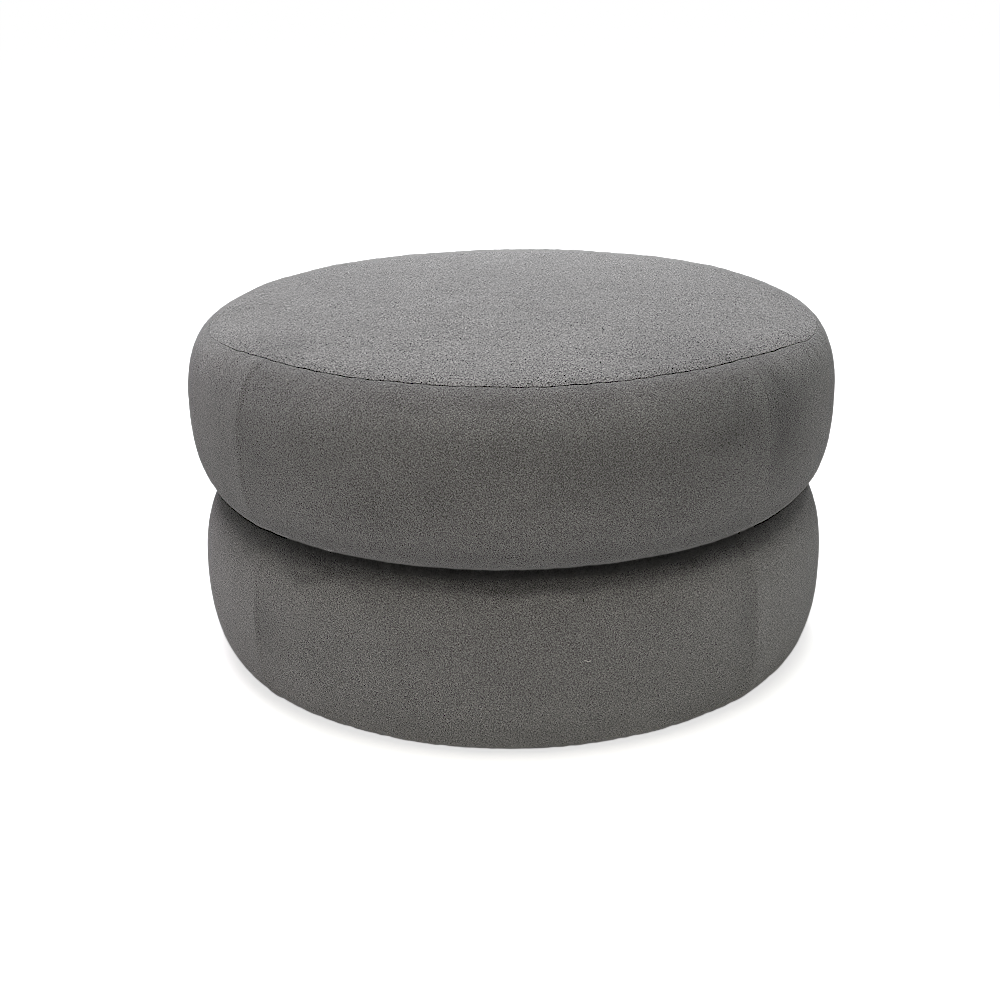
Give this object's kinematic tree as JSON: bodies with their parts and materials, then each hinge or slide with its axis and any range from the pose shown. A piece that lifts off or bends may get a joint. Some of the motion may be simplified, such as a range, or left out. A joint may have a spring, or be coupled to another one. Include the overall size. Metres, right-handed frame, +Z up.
{
  "type": "storage ottoman",
  "caption": "Round upholstered storage ottoman of two stacked filled tiers with bulging sides, a crowned seamed top and seamed bands.",
  "frame": {"origin": "centre of the flat underside, where the ottoman stands on the floor", "axes": "+Z up through both tiers, -Y towards the front, +X to the right seen from the front"},
  "size_m": [0.8003, 0.8, 0.43],
  "materials": {
    "panel_cloth": "short nubby grey cloth",
    "band_cloth": "short nubby grey cloth"
  },
  "bodies": {
    "root": {"seat_top_panel": "panel_cloth", "seat_band_front": "band_cloth", "seat_band_right": "band_cloth", "seat_band_back": "band_cloth", "seat_band_left": "band_cloth", "base_band_front": "band_cloth", "base_band_right": "band_cloth", "base_band_back": "band_cloth", "base_band_left": "band_cloth"}
  },
  "joints": []
}
